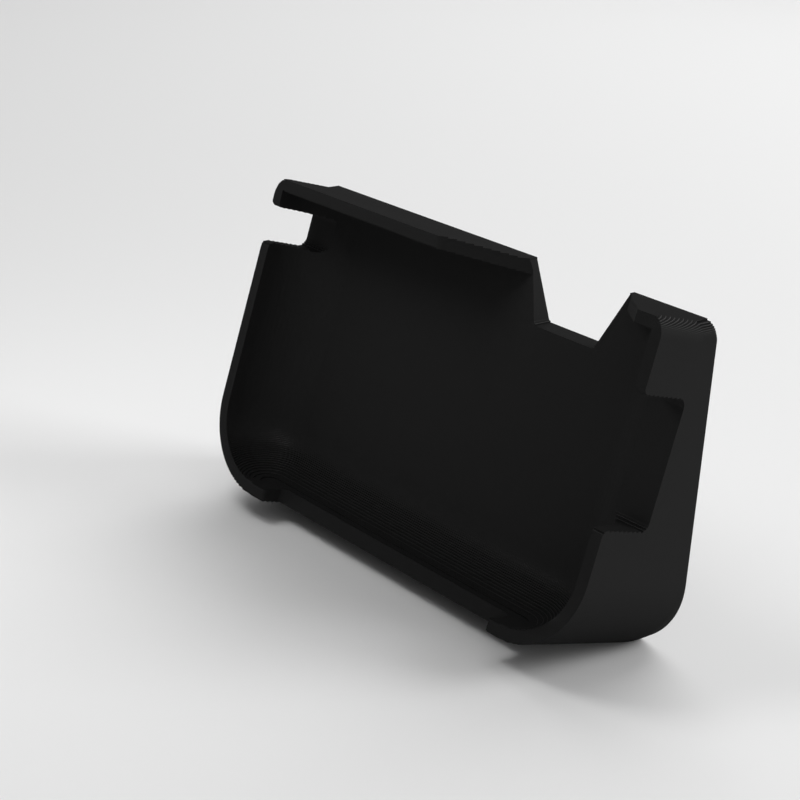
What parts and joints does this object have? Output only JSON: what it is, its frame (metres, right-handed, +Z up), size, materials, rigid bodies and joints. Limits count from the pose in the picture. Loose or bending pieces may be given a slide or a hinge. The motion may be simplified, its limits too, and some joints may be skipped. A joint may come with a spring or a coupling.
{
  "type": "game console dock",
  "caption": "One-piece leaning dock for a handheld game console: a shallow tray with side slots, an open top with a cable gate, and a recessed front foot on a solid wedge.",
  "frame": {"origin": "centre of the bounding box's bottom face, on the table under the dock", "axes": "+Z up, +X to the right of someone who faces the open tray, +Y to the back"},
  "size_m": [0.14, 0.0394, 0.087],
  "materials": {
    "printed_plastic": "matte black printed plastic with fine level layer lines"
  },
  "bodies": {
    "root": {"dock_shell": "printed_plastic"}
  },
  "joints": []
}
